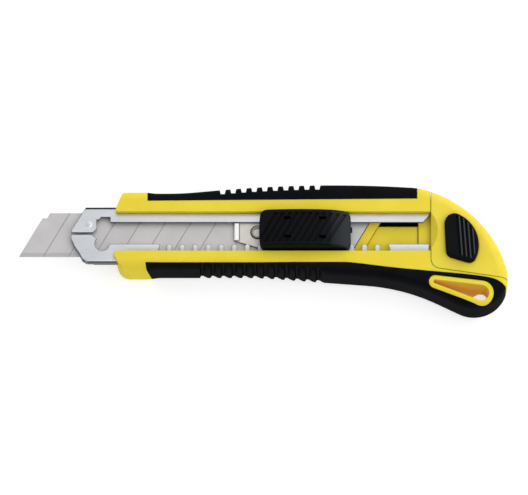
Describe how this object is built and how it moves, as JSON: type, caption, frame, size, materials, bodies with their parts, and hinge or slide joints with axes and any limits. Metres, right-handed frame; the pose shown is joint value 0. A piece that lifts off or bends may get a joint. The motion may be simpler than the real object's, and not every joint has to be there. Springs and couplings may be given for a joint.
{
  "type": "utility knife",
  "caption": "Snap-off utility knife: blade in a toothed steel channel, ribbed thumb slider, soft grips, spare-blade magazine under a slide-off rear cap, lanyard hole.",
  "frame": {"origin": "on the flat back face, under the centre line of the blade, half way along the knife with the blade as in the picture", "axes": "+X towards the tail, +Y towards the blade's spine, +Z out of the face with the thumb slider"},
  "size_m": [0.1916, 0.051, 0.0236],
  "materials": {
    "yellow_plastic": "moulded, light sheen",
    "soft_grip": "matt",
    "black_plastic": "fine texture",
    "blade_steel": "ground",
    "channel_steel": "bright plated",
    "spring_steel": "blued grey"
  },
  "bodies": {
    "handle": {"handle_body": "yellow_plastic", "upper_grip": "soft_grip", "lower_grip": "soft_grip", "blade_channel": "channel_steel", "magazine_tray": "black_plastic", "magazine_spring": "spring_steel", "spare_blade_1": "blade_steel", "spare_blade_2": "blade_steel", "spare_blade_3": "blade_steel", "spare_blade_4": "blade_steel", "spare_blade_5": "blade_steel"},
    "slider": {"slider_knob": "black_plastic", "carrier_plate": "channel_steel", "blade_pin": "channel_steel", "detent_spring": "spring_steel", "snap_blade": "blade_steel"},
    "cap": {"magazine_cap": "yellow_plastic", "latch_spring": "spring_steel"},
    "button": {"release_button": "black_plastic"},
    "tongue": {"stop_tongue": "yellow_plastic"}
  },
  "joints": [
    {"name": "slider_slide", "type": "slide", "parent": "handle", "child": "slider", "axis": [1, 0, 0], "range_m": [-0.051, 0.0306], "deforming": ["detent_spring"]},
    {"name": "cap_slide", "type": "slide", "parent": "handle", "child": "cap", "axis": [0.9888, -0.1495, 0], "range_m": [0, 0.035], "deforming": ["latch_spring"]},
    {"name": "button_press", "type": "slide", "parent": "cap", "child": "button", "axis": [0, 0, -1], "range_m": [0, 0.0016], "stiffness_N_per_m": 800, "deforming": ["latch_spring"]},
    {"name": "tongue_flex", "type": "hinge", "parent": "handle", "child": "tongue", "pos_m": [0.0604, 0, 0.0107], "axis": [0, -1, 0], "range_deg": [0, 4], "stiffness_Nm_per_rad": 0.8}
  ]
}
